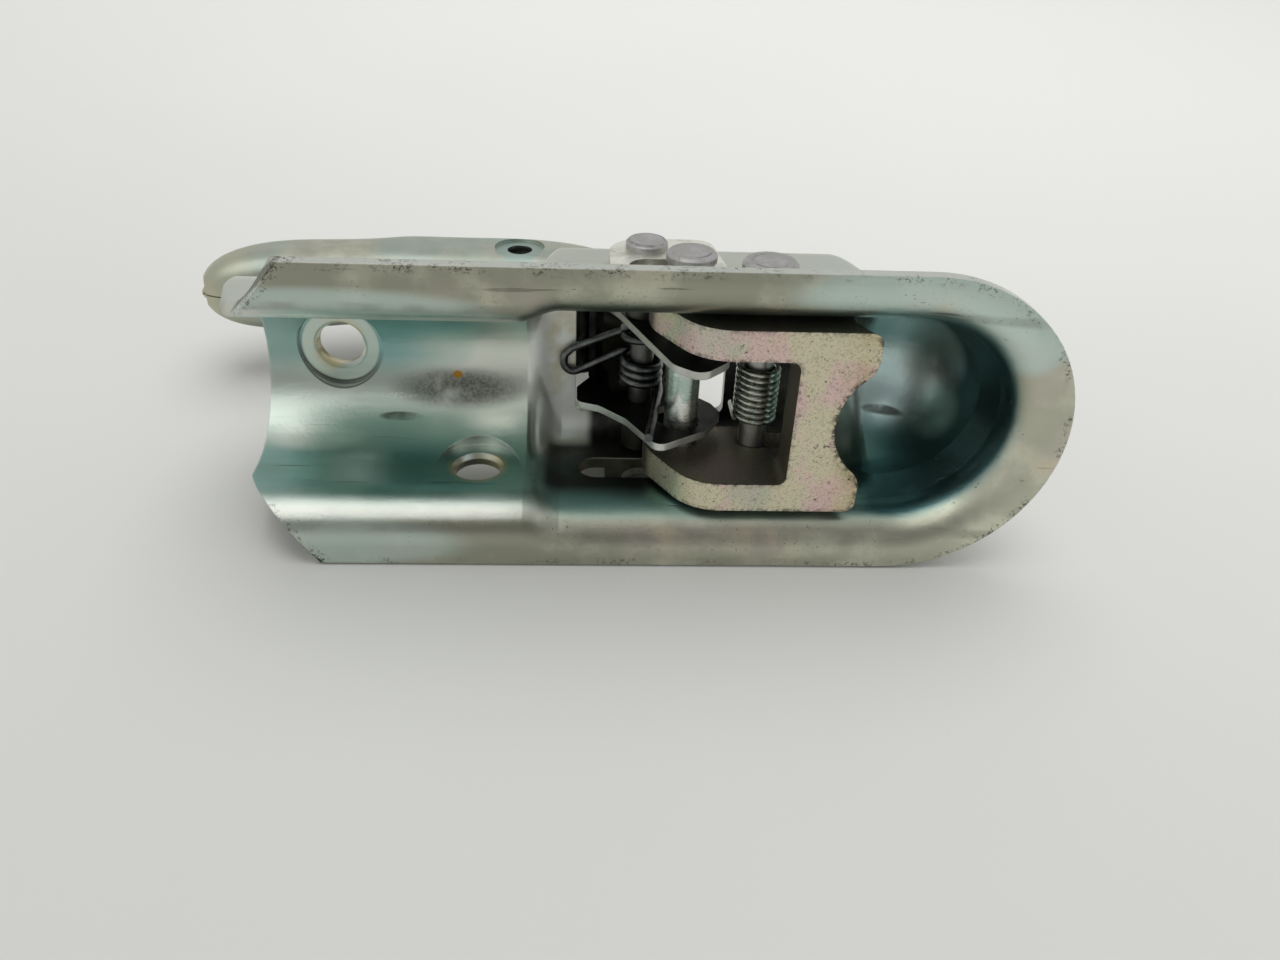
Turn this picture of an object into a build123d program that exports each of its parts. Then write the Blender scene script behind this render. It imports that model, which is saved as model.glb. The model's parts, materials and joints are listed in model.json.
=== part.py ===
from build123d import *
import math
import os

# Trailer coupling head for a 50 mm tow ball, in millimetres.
# The origin is the centre of the ball, +X points to the nose and +Z up.

# Ball and drawbar tube that the coupling takes
ball_radius = 25.0
cup_clearance = 0.6
jaw_ball_clearance = 0.3
drawbar_radius = 25.0
drawbar_clearance = 0.1
drawbar_axis_z = 1.0

# Pressed body
sheet = 3.5
flange_z = -20.6
flange_half_width = 43.5
bend_radius = 12.5
bay_half_width = 28.5
bay_roof_z = 29.0
bay_corner_radius = 6.0
bay_crown_angle = 86.0
rear_x = -176.0
step_start_x = -101.0
step_end_x = -91.0
bay_front_x = -16.0
window_rear_x = -86.8
window_front_x = -41.5
window_half_width = 22.0
window_corner_radius = 2.5
flange_cut_x = -156.3
wall_cut_x = -167.5
wall_cut_half_width = 27.5
tail_cut_z = -5.0

# Bolt holes for the drawbar
bolt_hole_radius = 6.5
bolt_rim = 1.6
bolt_pad_radius = 12.0
bolt_boss_radius = 15.5
boss_root_share = 0.75
roof_bolt_x = -155.0
wall_bolt_x = -114.4

# Rivets, pin and plates
pivot_x = -67.8
pivot_z = 20.0
pivot_radius = 3.5
pivot_head_radius = 5.75
pivot_head_height = 2.4
jaw_pin_x = -56.8
jaw_pin_z = 6.5
jaw_pin_radius = 4.75
jaw_pin_head_radius = 6.75
jaw_pin_head_height = 2.4
collar_radius = 6.2
collar_height = 1.9
guide_x = -35.8
guide_radius = 4.0
guide_head_radius = 7.5
guide_head_height = 4.3
head_bevel = 0.8
plate_sheet = 2.0
plate_rear_x = -78.0
plate_front_x = -45.5
plate_front_lean = 4.5
plate_bottom_z = -3.0
plate_top_z = 27.0
plate_rounding = 5.0
spacer_radius = 5.0
spacer_end_gap = 0.8
slot_rear_x = -85.8

# Fits
fixed_fit = 0.05
running_fit = 0.08
slot_play = 0.55
side_play = 0.15
guide_play = 0.3

# Movement
jaw_travel = 11.0
handle_lift = 40.0
cam_play = 0.75

# Ball jaw
jaw_bottom_z = -17.4
jaw_top_z = 14.2
jaw_half_width = 27.0
jaw_arm = 8.5
jaw_rear_x = -67.1
jaw_tip_x = -9.5
jaw_tip_rounding = 3.0
jaw_brow_x = -15.5
jaw_brow_z = -7.0
jaw_chamfer = 5.0
jaw_heel_x = -55.0
jaw_heel_z = 2.0
jaw_heel_rounding = 15.0
jaw_back_radius = 6.0
crossbar_rear_x = -29.5
crossbar_top_z = -4.0
jaw_inner_radius = 2.5
jaw_mouth_rounding = 8.0

# Hand lever
lever_sheet = 2.2
cheek_half_width = 14.5
grip_half_width = 13.6
grip_half_height = 12.0
grip_corner_radius = 9.0
neck_bottom_z = 33.0
neck_top_z = 37.0
lever_hole_x = -105.5
lever_hole_z = 73.0
lever_hole_radius = 4.0
lever_dimple_radius = 8.0
lever_dimple_depth = 1.0

# Springs
coil_steps = 8
handle_wire = 2.4
handle_coil_turns = 3.25
handle_coil_pitch = 2.45
handle_coil_play = 0.45
handle_coil_start_y = -0.7
far_coil_turns = 1.25
far_coil_start_y = -7.3
handle_loop_reach = 3.6
handle_loop_left_y = 8.4
handle_loop_right_y = 0.2
handle_leg_foot_x = -67.0
handle_leg_foot_z = -12.0
jaw_wire = 1.8
jaw_coil_turns = 9.0
jaw_coil_pitch = 1.86
jaw_coil_play = 0.5
jaw_coil_start_y = -5.8
jaw_leg_length = 9.0

# Worked-out sizes
seat_radius = drawbar_radius + drawbar_clearance
cup_radius = ball_radius + cup_clearance
bay_outer = bay_half_width + sheet
plate_outer = bay_outer + plate_sheet
cheek_inner = cheek_half_width - lever_sheet
arm_inner = jaw_half_width - jaw_arm
cut_reach = 200.0
blend_steps = 4


def rounded_outline(corners):
    """Closed face from corners (x, y, radius), with straight runs and tangent arcs."""
    edges = []
    starts = []
    ends = []
    count = len(corners)
    for i in range(count):
        here = Vector(corners[i][0], corners[i][1])
        radius = corners[i][2]
        to_last = (Vector(*corners[i - 1][:2]) - here).normalized()
        to_next = (Vector(*corners[(i + 1) % count][:2]) - here).normalized()
        if radius == 0:
            starts.append(here)
            ends.append(here)
            continue
        half = math.radians(to_last.get_angle(to_next)) / 2
        inward = (to_last + to_next).normalized()
        start = here + to_last * (radius / math.tan(half))
        end = here + to_next * (radius / math.tan(half))
        middle = here + inward * (radius / math.sin(half) - radius)
        edges.append(ThreePointArc(start, middle, end))
        starts.append(start)
        ends.append(end)
    for i in range(count):
        if (starts[(i + 1) % count] - ends[i]).length > 1e-6:
            edges.append(Line(ends[i], starts[(i + 1) % count]))
    return make_face(edges)


def on_circle(center, radius, degrees):
    angle = math.radians(degrees)
    return (center[0] + radius * math.cos(angle), center[1] + radius * math.sin(angle))


def hat_side(low, top, corner_z, corner_radius, split, skin):
    """Edges of one skin of the sheet from the flange's rim to the crown, and the crown's ends."""
    radius = bend_radius - skin
    bend_center = (low + bend_radius, flange_z + bend_radius)
    bend_foot = (bend_center[0], flange_z + skin)
    bend_head = (low + skin, bend_center[1])
    corner_center = (top - corner_radius, corner_z)
    wall_top = (top + skin, corner_z)
    crown_end = on_circle(corner_center, corner_radius + skin, split)
    edges = [
        Line((flange_half_width, flange_z + skin), bend_foot),
        ThreePointArc(bend_foot, on_circle(bend_center, radius, 225), bend_head),
        Line(bend_head, wall_top),
        ThreePointArc(wall_top, on_circle(corner_center, corner_radius + skin, split / 2), crown_end),
    ]
    crown_z = crown_height(top, corner_z, corner_radius, split) + skin
    return edges, crown_end, crown_z


def crown_height(top, corner_z, corner_radius, split):
    """Height of the roof's middle above a corner arc that passes into a flatter crown arc."""
    angle = math.radians(split)
    side = top - corner_radius
    return corner_z - side * math.tan(angle) + corner_radius + side / math.cos(angle)


def hat_section(x, low, top, corner_z, corner_radius, split):
    """Section of the pressed sheet across the body at x."""
    edges = []
    for skin in (0.0, sheet):
        side, crown_end, crown_z = hat_side(low, top, corner_z, corner_radius, split, skin)
        edges += side
        edges += [edge.mirror(Plane.YZ) for edge in side]
        edges.append(ThreePointArc(crown_end, (0, crown_z), (-crown_end[0], crown_end[1])))
    for side in (1, -1):
        rim = side * flange_half_width
        edges.append(Line((rim, flange_z), (rim, flange_z + sheet)))
    return Plane.YZ.offset(x) * make_face(edges)


def pressed_blend(start_x, start, end_x, end):
    """Smooth passage of the sheet from one section to another."""
    faces = []
    for i in range(blend_steps + 1):
        share = i / blend_steps
        ease = share * share * (3 - 2 * share)
        shape = [a + (b - a) * ease for a, b in zip(start, end)]
        faces.append(hat_section(start_x + (end_x - start_x) * share, *shape))
    return loft(faces)


def nose_section(low, top, corner_z, corner_radius, split):
    """Half of the section, closed along the axis of the dome."""
    edges = [Line((flange_half_width, flange_z), (flange_half_width, flange_z + sheet))]
    crowns = []
    for skin in (0.0, sheet):
        side, crown_end, crown_z = hat_side(low, top, corner_z, corner_radius, split, skin)
        middle = on_circle((top - corner_radius, corner_z), corner_radius + skin, (split + 90) / 2)
        edges += side
        edges.append(ThreePointArc(crown_end, middle, (0, crown_z)))
        crowns.append((0, crown_z))
    edges.append(Line(*crowns))
    return Plane.XZ * make_face(edges)


rear_shape = (seat_radius, seat_radius, drawbar_axis_z, seat_radius, bay_crown_angle)
bay_corner_z = bay_roof_z - crown_height(bay_half_width, 0.0, bay_corner_radius, bay_crown_angle)
bay_shape = (bay_half_width, bay_half_width, bay_corner_z, bay_corner_radius, bay_crown_angle)
dome_shape = (bay_half_width, cup_radius, 0.0, cup_radius, bay_crown_angle)


def along_y(x, z):
    """Plane whose normal runs along +Y through (x, z), with its own x along +X."""
    return Plane(origin=(x, 0, z), x_dir=(1, 0, 0), z_dir=(0, 1, 0))


def slot_through(rear, front, z, height):
    """Cutter along Y with round ends, from its rear end to its front end."""
    middle = along_y((rear + front) / 2, z)
    return extrude(middle * SlotOverall(front - rear, height), cut_reach / 2, both=True)


def bolt_pad(plane, level):
    """Boss, flat and hole of one drawbar bolt; the plane's normal points out of the body."""
    boss = plane * Pos(0, 0, level - sheet) * Cylinder(
        bolt_boss_radius, 2 * sheet, align=(Align.CENTER, Align.CENTER, Align.MIN)
    )
    flat = plane * Cylinder(bolt_pad_radius, level, align=(Align.CENTER, Align.CENTER, Align.MIN))
    hole = plane * Pos(0, 0, level) * Cylinder(bolt_hole_radius, 4 * sheet)
    rim = plane * Pos(0, 0, level) * Cone(
        bolt_hole_radius + bolt_rim, bolt_hole_radius, 2 * bolt_rim
    )
    return boss, flat, hole + rim


def coupling_body():
    rear = extrude(hat_section(rear_x, *rear_shape), step_start_x - rear_x)
    step = pressed_blend(step_start_x, rear_shape, step_end_x, bay_shape)
    bay = extrude(hat_section(step_end_x, *bay_shape), bay_front_x - step_end_x)
    brow = pressed_blend(bay_front_x, bay_shape, 0.0, dome_shape)
    half_turn = revolve(nose_section(*dome_shape), Axis.Z, 180)
    nose = Rot(0, 0, -90) * half_turn
    body = rear + step + bay + brow + nose

    roof_bolt = bolt_pad(Plane(origin=(roof_bolt_x, 0, drawbar_axis_z)), seat_radius)
    pads = [roof_bolt]
    for side in (1, -1):
        wall = Plane(origin=(wall_bolt_x, 0, drawbar_axis_z), x_dir=(1, 0, 0), z_dir=(0, side, 0))
        pads.append(bolt_pad(wall, seat_radius))
    core_radius = seat_radius + sheet * boss_root_share
    core_length = step_end_x - rear_x
    core = Pos(rear_x, 0, drawbar_axis_z) * Rot(0, 90, 0) * Cylinder(
        core_radius, core_length, align=(Align.CENTER, Align.CENTER, Align.MIN)
    )
    core = core + Pos(rear_x, 0, drawbar_axis_z) * Box(
        core_length, 2 * core_radius, cut_reach, align=(Align.MIN, Align.CENTER, Align.MAX)
    )
    for boss, flat, hole in pads:
        body = body + (boss - core)
    for boss, flat, hole in pads:
        body = body - flat - hole

    window_length = window_front_x - window_rear_x
    window = Pos((window_rear_x + window_front_x) / 2, 0, drawbar_axis_z) * extrude(
        RectangleRounded(window_length, 2 * window_half_width, window_corner_radius), cut_reach
    )
    jaw_slot_front = jaw_pin_x + jaw_pin_radius + slot_play
    body = body - window
    body = body - slot_through(slot_rear_x, jaw_slot_front, jaw_pin_z, 2 * (jaw_pin_radius + slot_play))
    for x, z, radius in ((pivot_x, pivot_z, pivot_radius), (guide_x, jaw_pin_z, guide_radius)):
        body = body - along_y(x, z) * Cylinder(radius + fixed_fit, cut_reach)

    for side in (1, -1):
        flange_point = Vector(flange_cut_x, side * flange_half_width, flange_z)
        wall_point = Vector(wall_cut_x, side * wall_cut_half_width, flange_z)
        tail_point = Vector(rear_x, side * (seat_radius + fixed_fit), tail_cut_z)
        outward = (wall_point - flange_point).cross(tail_point - flange_point) * side
        corner = Plane(origin=flange_point, x_dir=wall_point - flange_point, z_dir=outward)
        body = body - corner * Box(
            cut_reach, cut_reach, cut_reach, align=(Align.CENTER, Align.CENTER, Align.MIN)
        )
    return body


def guide_plate(side):
    """Thin plate outside one wall, under the heads of the lever's rivet and the jaw pin."""
    front_top_x = plate_front_x - plate_front_lean
    outline = rounded_outline([
        (plate_rear_x, plate_bottom_z, plate_rounding),
        (plate_front_x, plate_bottom_z, plate_rounding),
        (front_top_x, plate_top_z, plate_rounding),
        (plate_rear_x, plate_top_z, 2 * plate_rounding),
    ])
    plate = extrude(Plane.XZ * outline, plate_sheet)
    plate = Pos(0, bay_outer + plate_sheet if side > 0 else -bay_outer, 0) * plate
    play = jaw_pin_radius + slot_play
    plate = plate - slot_through(jaw_pin_x - jaw_travel - play, jaw_pin_x + play, jaw_pin_z, 2 * play)
    return plate - along_y(pivot_x, pivot_z) * Cylinder(pivot_radius + fixed_fit, cut_reach)


def rivet(x, z, radius, grip, head_radius, head_height):
    """Round pin along Y with a head at each end; grip is half the length between the heads."""
    outer = grip + head_height
    profile = [(0, outer), (head_radius - head_bevel, outer), (head_radius, outer - head_bevel)]
    profile += [(head_radius, grip), (radius, grip)]
    profile += [(r, -y) for r, y in reversed(profile)]
    return Pos(x, 0, z) * revolve(make_face(Polyline(*profile, close=True)), Axis.Y)


def ring(x, z, outer, inner, near, far):
    """Sleeve along Y between two distances from the middle plane."""
    face = Circle(outer) - Circle(inner)
    end = Plane(origin=(x, near, z), x_dir=(1, 0, 0), z_dir=(0, far - near, 0))
    return extrude(end * face, abs(far - near))


def ball_jaw():
    side_view = rounded_outline([
        (jaw_tip_x, jaw_bottom_z, 0),
        (jaw_heel_x, jaw_bottom_z, jaw_heel_rounding),
        (jaw_rear_x, jaw_heel_z, jaw_heel_rounding),
        (jaw_rear_x, jaw_top_z, jaw_back_radius),
        (jaw_brow_x - jaw_chamfer, jaw_top_z, 0),
        (jaw_brow_x, jaw_top_z - jaw_chamfer, 0),
        (jaw_brow_x, jaw_brow_z, 0),
    ])
    jaw = extrude(Plane.XZ * side_view, jaw_half_width, both=True)
    tips = jaw.edges().filter_by(lambda edge: edge.center().X > jaw_brow_x + 1)
    tips = tips.filter_by(lambda edge: abs(abs(edge.center().Y) - jaw_half_width) < 0.1)
    tips = tips.filter_by(lambda edge: edge.center().Z > jaw_bottom_z + 1)
    jaw = fillet(tips, jaw_tip_rounding)
    bay_length = cut_reach / 2
    bay = Pos(crossbar_rear_x - bay_length / 2, 0, 0) * extrude(
        RectangleRounded(bay_length, 2 * arm_inner, jaw_inner_radius), cut_reach / 2, both=True
    )
    over_bar = Pos(crossbar_rear_x, 0, crossbar_top_z) * Box(
        cut_reach, 2 * arm_inner, cut_reach, align=(Align.CENTER, Align.CENTER, Align.MIN)
    )
    jaw = jaw - bay - over_bar - Sphere(ball_radius + jaw_ball_clearance)
    mouth = jaw.edges().filter_by(lambda edge: edge.center().X > jaw_brow_x + 1)
    mouth = mouth.filter_by(lambda edge: abs(edge.center().Y) < arm_inner)
    mouth = mouth.filter_by(lambda edge: jaw_bottom_z + 1 < edge.center().Z < jaw_brow_z)
    jaw = fillet(mouth, jaw_mouth_rounding)
    jaw = jaw - along_y(jaw_pin_x, jaw_pin_z) * Cylinder(jaw_pin_radius + fixed_fit, cut_reach)
    guide = guide_radius + guide_play
    return jaw - slot_through(guide_x - guide, guide_x + jaw_travel + guide, jaw_pin_z, 2 * guide)


# Sections of the hand lever from the neck to the tip:
# centre x and z, tilt of the section's normal from +Z towards -X, half height, half width,
# corner radius
lever_stations = [
    (-70.0, neck_bottom_z, 0.0, 13.0, cheek_half_width, 3.0),
    (-71.5, 45.0, 12.0, 12.5, cheek_half_width, 5.0),
    (-78.0, 60.5, 42.0, grip_half_height, 14.2, 7.5),
    (-92.0, 72.5, 72.0, grip_half_height, 13.8, grip_corner_radius),
    (-112.0, 75.8, 89.0, grip_half_height, grip_half_width, grip_corner_radius),
    (-143.0, 75.3, 93.0, grip_half_height, grip_half_width, grip_corner_radius),
    (-172.0, 71.6, 101.0, 11.5, 13.4, grip_corner_radius),
    (-188.0, 68.2, 104.0, 10.4, 12.9, 8.5),
    (-196.5, 66.0, 105.0, 8.6, 11.0, 7.5),
    (-202.0, 64.5, 106.0, 6.0, 7.8, 5.0),
    (-204.6, 63.7, 107.0, 3.6, 4.6, 3.0),
]


def lever_form(inset):
    """Closed form of the lever's grip and neck; the inset one is the hollow inside its sheet."""
    faces = []
    last = len(lever_stations) - 1
    for i, (x, z, tilt, half_height, half_width, corner) in enumerate(lever_stations):
        angle = math.radians(tilt)
        normal = Vector(-math.sin(angle), 0, math.cos(angle))
        shift = inset if i in (0, last) else 0.0
        plane = Plane(origin=Vector(x, 0, z) - normal * shift, x_dir=(0, 1, 0), z_dir=normal)
        face = RectangleRounded(
            2 * (half_width - inset), 2 * (half_height - inset), max(corner - inset, 0.8)
        )
        faces.append(plane * face)
    return loft(faces, ruled=inset > 0)


# Edges of the two cheeks below the neck, as (x, z, corner radius)
neck_rear_x = -80.0
neck_front_x = -60.0
cheek_front = [
    (-44.5, 11.0, 4.0),
    (-47.0, 17.0, 4.0),
    (neck_front_x, 30.0, 5.0),
    (neck_front_x, neck_top_z, 0),
    (neck_rear_x, neck_top_z, 0),
]
left_cheek = [
    (-86.5, 26.0, 2.0),
    (-86.5, 17.0, 3.0),
    (-80.0, 14.6, 5.0),
    (-72.4, 7.1, 5.0),
    (-64.0, -8.0, 3.0),
    (-50.0, 1.0, 6.0),
] + cheek_front
right_cheek = [
    (-79.5, 30.0, 4.0),
    (-74.5, 21.0, 8.0),
    (-61.5, -11.5, 6.0),
    (-54.5, -17.0, 4.0),
    (-46.5, -9.0, 6.0),
] + cheek_front


def handle_shell(side):
    """One stamped half of the lever: half of the hollow grip and its flat cheek."""
    form = lever_form(0.0) - lever_form(lever_sheet)
    half = form & Box(
        3 * cut_reach, cut_reach, cut_reach,
        align=(Align.CENTER, Align.MIN if side > 0 else Align.MAX, Align.CENTER),
    )
    outline = rounded_outline(left_cheek if side > 0 else right_cheek)
    cheek = extrude(Plane.XZ * outline, lever_sheet)
    cheek = Pos(0, cheek_half_width if side > 0 else -cheek_inner, 0) * cheek
    shell = half + cheek
    shell = shell - along_y(pivot_x, pivot_z) * Cylinder(pivot_radius + running_fit, cut_reach)
    near = jaw_pin_z - pivot_z
    rest = Vector(jaw_pin_x - pivot_x, near)
    open_end = Vector(jaw_pin_x - jaw_travel - pivot_x, near).rotate(Axis.Z, handle_lift)
    cam_width = 2 * (jaw_pin_radius + cam_play)
    cam = SlotOverall((rest - open_end).length + cam_width, cam_width)
    middle = (rest + open_end) / 2
    lean = math.degrees(math.atan2(rest.Y - open_end.Y, rest.X - open_end.X))
    cam = Pos(pivot_x + middle.X, pivot_z + middle.Y) * Rot(0, 0, lean) * cam
    shell = shell - extrude(Plane.XZ * cam, cut_reach, both=True)
    eye = Plane(origin=(lever_hole_x, 0, lever_hole_z), x_dir=(1, 0, 0), z_dir=(0, side, 0))
    dimple = eye * Pos(0, 0, grip_half_width - lever_dimple_depth) * Cylinder(
        lever_dimple_radius, cheek_half_width, align=(Align.CENTER, Align.CENTER, Align.MIN)
    )
    return shell - dimple - eye * Cylinder(lever_hole_radius, cut_reach)


def wire_run(path, wire):
    """Wire of six flats along a path of straight runs."""
    start = Plane(origin=path @ 0, z_dir=path % 0)
    return sweep(start * RegularPolygon(wire / 2, 6), path, transition=Transition.RIGHT)


def coil(x, z, start_y, radius, pitch, turns, wire, start_angle):
    """Coil round an axis along Y that starts at an angle above +X and turns clockwise seen along +Y."""
    points = []
    for i in range(round(turns * coil_steps) + 1):
        across = on_circle((x, z), radius, start_angle - 360 * i / coil_steps)
        points.append((across[0], start_y + pitch * i / coil_steps, across[1]))
    return wire_run(Polyline(*points), wire)


def handle_spring():
    radius = pivot_radius + handle_coil_play + handle_wire / 2
    end_y = handle_coil_start_y + handle_coil_pitch * handle_coil_turns
    near_coil = coil(
        pivot_x, pivot_z, handle_coil_start_y, radius, handle_coil_pitch, handle_coil_turns, handle_wire, 90
    )
    far_coil = coil(
        pivot_x, pivot_z, far_coil_start_y, radius, -handle_coil_pitch, far_coil_turns, handle_wire, 90
    )
    leg = wire_run(
        Polyline(
            (pivot_x + radius, end_y, pivot_z),
            (pivot_x + radius, end_y, pivot_z - radius),
            (handle_leg_foot_x, end_y, handle_leg_foot_z),
        ),
        handle_wire,
    )
    loop_z = bay_roof_z - side_play - handle_wire / 2
    loop_x = window_rear_x - handle_loop_reach
    shoulder_x = loop_x + handle_wire
    loop = wire_run(
        Polyline(
            (pivot_x, handle_coil_start_y, pivot_z + radius),
            (pivot_x - radius, handle_coil_start_y, pivot_z + radius),
            (shoulder_x, handle_loop_left_y, loop_z),
            (loop_x, handle_loop_left_y - handle_wire, loop_z),
            (loop_x, handle_loop_right_y + handle_wire, loop_z),
            (shoulder_x, handle_loop_right_y, loop_z),
            (pivot_x - radius, far_coil_start_y, pivot_z + radius),
            (pivot_x, far_coil_start_y, pivot_z + radius),
        ),
        handle_wire,
    )
    return near_coil + far_coil + leg + loop


def jaw_spring():
    radius = guide_radius + jaw_coil_play + jaw_wire / 2
    end_y = jaw_coil_start_y + jaw_coil_pitch * jaw_coil_turns
    wound = coil(guide_x, jaw_pin_z, jaw_coil_start_y, radius, jaw_coil_pitch, jaw_coil_turns, jaw_wire, 180)
    back_x = guide_x - radius
    leg_top_z = jaw_pin_z + jaw_leg_length
    legs = [
        wire_run(Line((back_x, y, jaw_pin_z), (back_x, y, leg_top_z)), jaw_wire)
        for y in (jaw_coil_start_y, end_y)
    ]
    return wound + legs[0] + legs[1]


def build():
    collar_near = plate_outer + side_play
    collar_far = collar_near + collar_height
    nodes = {
        "coupling_body": coupling_body(),
        "handle_pivot_rivet": rivet(
            pivot_x, pivot_z, pivot_radius, plate_outer, pivot_head_radius, pivot_head_height
        ),
        "guide_rivet": rivet(
            guide_x, jaw_pin_z, guide_radius, bay_outer, guide_head_radius, guide_head_height
        ),
        "jaw_pin": rivet(
            jaw_pin_x, jaw_pin_z, jaw_pin_radius, collar_far, jaw_pin_head_radius, jaw_pin_head_height
        ),
        "ball_jaw": ball_jaw(),
        "handle_spring": handle_spring(),
        "jaw_spring": jaw_spring(),
    }
    for side, name in ((1, "left"), (-1, "right")):
        nodes["guide_plate_" + name] = guide_plate(side)
        nodes["handle_shell_" + name] = handle_shell(side)
        nodes["pivot_spacer_" + name] = ring(
            pivot_x, pivot_z, spacer_radius, pivot_radius + running_fit,
            side * (cheek_half_width + side_play), side * (bay_half_width - spacer_end_gap),
        )
        nodes["jaw_pin_collar_" + name] = ring(
            jaw_pin_x, jaw_pin_z, collar_radius, jaw_pin_radius + fixed_fit,
            side * collar_near, side * collar_far,
        )
    return nodes


os.makedirs("parts", exist_ok=True)
for node, solid in build().items():
    export_step(solid, "parts/" + node + ".step")
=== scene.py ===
import json
import math

import bmesh
import bpy
from mathutils import Matrix, Vector


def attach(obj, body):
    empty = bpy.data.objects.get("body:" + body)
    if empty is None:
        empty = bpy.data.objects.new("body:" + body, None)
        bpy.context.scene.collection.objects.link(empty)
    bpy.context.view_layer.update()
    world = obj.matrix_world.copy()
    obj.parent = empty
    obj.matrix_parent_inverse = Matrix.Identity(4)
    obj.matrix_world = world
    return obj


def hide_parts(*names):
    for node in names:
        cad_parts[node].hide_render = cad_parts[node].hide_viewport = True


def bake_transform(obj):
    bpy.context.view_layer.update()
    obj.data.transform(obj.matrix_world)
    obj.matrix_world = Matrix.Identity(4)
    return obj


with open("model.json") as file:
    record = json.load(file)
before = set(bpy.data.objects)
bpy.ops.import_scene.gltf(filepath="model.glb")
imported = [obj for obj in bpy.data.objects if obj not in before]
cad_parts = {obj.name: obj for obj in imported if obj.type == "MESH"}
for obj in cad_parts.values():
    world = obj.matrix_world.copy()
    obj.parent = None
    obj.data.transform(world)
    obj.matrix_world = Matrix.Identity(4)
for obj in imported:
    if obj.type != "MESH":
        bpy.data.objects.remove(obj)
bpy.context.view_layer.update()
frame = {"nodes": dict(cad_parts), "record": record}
nodes = frame["nodes"]
mm = 0.001
print("frame loaded with", len(nodes), "nodes")


# one output socket of a node tree, with arithmetic that adds Math nodes
class Wire:
    def __init__(self, tree, out=None):
        self.tree = tree
        self.out = out

    def make(self, kind, settings=None, sockets=None, out=0):
        node = self.tree.nodes.new(kind)
        for name, value in (settings or {}).items():
            setattr(node, name, value)
        for key, value in (sockets or {}).items():
            for one in value if isinstance(value, list) else [value]:
                if isinstance(one, Wire):
                    self.tree.links.new(one.out, node.inputs[key])
                else:
                    node.inputs[key].default_value = one
        return Wire(self.tree, node.outputs[out])

    def math(self, operation, first, second=0.0):
        return self.make("ShaderNodeMath", {"operation": operation}, {0: first, 1: second})

    def __add__(self, other):
        return self.math("ADD", self, other)

    def __radd__(self, other):
        return self.math("ADD", other, self)

    def __sub__(self, other):
        return self.math("SUBTRACT", self, other)

    def __rsub__(self, other):
        return self.math("SUBTRACT", other, self)

    def __mul__(self, other):
        return self.math("MULTIPLY", self, other)

    def dot(self, first, second):
        settings = {"operation": "DOT_PRODUCT"}
        return self.make("ShaderNodeVectorMath", settings, {0: first, 1: second}, "Value")

    def size(self):
        return self.math("ABSOLUTE", self)

    def root(self):
        return self.math("SQRT", self)

    def least(self, other):
        return self.math("MINIMUM", self, other)

    def between(self, low, high):  # 0 below low, 1 above high, eased in between
        settings = {"interpolation_type": "SMOOTHSTEP"}
        sockets = {"Value": self, "From Min": low, "From Max": high}
        return self.make("ShaderNodeMapRange", settings, sockets)

    def band(self, low, high, soft):  # 1 from low to high, fading outside
        return self.between(low - soft, low) * (1 - self.between(high, high + soft))

    def toward(self, colour, amount):  # this colour mixed with another by amount
        other = colour if isinstance(colour, Wire) else (*colour, 1.0)
        sockets = {"Factor": amount, "A": self, "B": other}
        return self.make("ShaderNodeMix", {"data_type": "RGBA"}, sockets, "Result")


# positions, noises and sockets of one material, all on Object coordinates
class Surface:
    def __init__(self, name, metal=1.0):
        self.material = bpy.data.materials.new(name)
        self.material.use_nodes = True
        tree = self.material.node_tree
        self.shader = tree.nodes["Principled BSDF"]
        self.shader.inputs["Metallic"].default_value = metal
        self.wire = Wire(tree)
        self.place = self.wire.make("ShaderNodeTexCoord", out="Object")
        self.x, self.y, self.z = [part * (1.0 / mm) for part in self.parts(self.place)]  # in mm

    def facing(self):
        return self.wire.make("ShaderNodeNewGeometry", out="Normal")

    def parts(self, vector):
        outs = self.wire.make("ShaderNodeSeparateXYZ", None, {0: vector}).out.node.outputs
        return [Wire(self.wire.tree, outs[i]) for i in range(3)]

    def noise(self, size, detail=3.0, stretch=(1.0, 1.0, 1.0), turn=(0.0, 0.0, 0.0), roughness=0.55):
        place = self.place
        if stretch != (1.0, 1.0, 1.0) or turn != (0.0, 0.0, 0.0):
            sockets = {"Vector": place, "Rotation": turn, "Scale": stretch}
            place = self.wire.make("ShaderNodeMapping", None, sockets)
        sockets = {"Vector": place, "Scale": 1.0 / (size * mm), "Detail": detail, "Roughness": roughness}
        return self.wire.make("ShaderNodeTexNoise", None, sockets)

    def colour(self, first, second, amount):
        sockets = {"Factor": amount, "A": (*first, 1.0), "B": (*second, 1.0)}
        return self.wire.make("ShaderNodeMix", {"data_type": "RGBA"}, sockets, "Result")

    def spot(self, centre, reach, core=0.35):  # 1 at a place, 0 outside an ellipsoid of this reach
        total = None
        for part, at, half in zip((self.x, self.y, self.z), centre, reach):
            if half:
                step = (part - at) * (1.0 / half)
                total = step * step if total is None else total + step * step
        return 1 - total.between(core, 1.0)

    def fromAxis(self, first, second, at):  # distance from a line, by the two coordinates across it
        a, b = first - at[0], second - at[1]
        return (a * a + b * b).root()

    def feed(self, socket, wire):
        self.wire.tree.links.new(wire.out, self.shader.inputs[socket])

    def soften(self, radius):  # normal rounded over the edges
        return self.wire.make("ShaderNodeBevel", {"samples": 4}, {"Radius": radius * mm})

    def edges(self, radius):  # 1 on sharp edges, 0 on open faces
        round_, plain = self.soften(radius), self.facing()
        return 1 - self.wire.dot(round_, plain).between(0.80, 0.985)

    def bump(self, height, distance, round_):
        sockets = {"Height": height, "Strength": 1.0, "Distance": distance * mm}
        if round_:
            sockets["Normal"] = self.soften(round_)
        self.feed("Normal", self.wire.make("ShaderNodeBump", None, sockets))


print("material tools ready")

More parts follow.
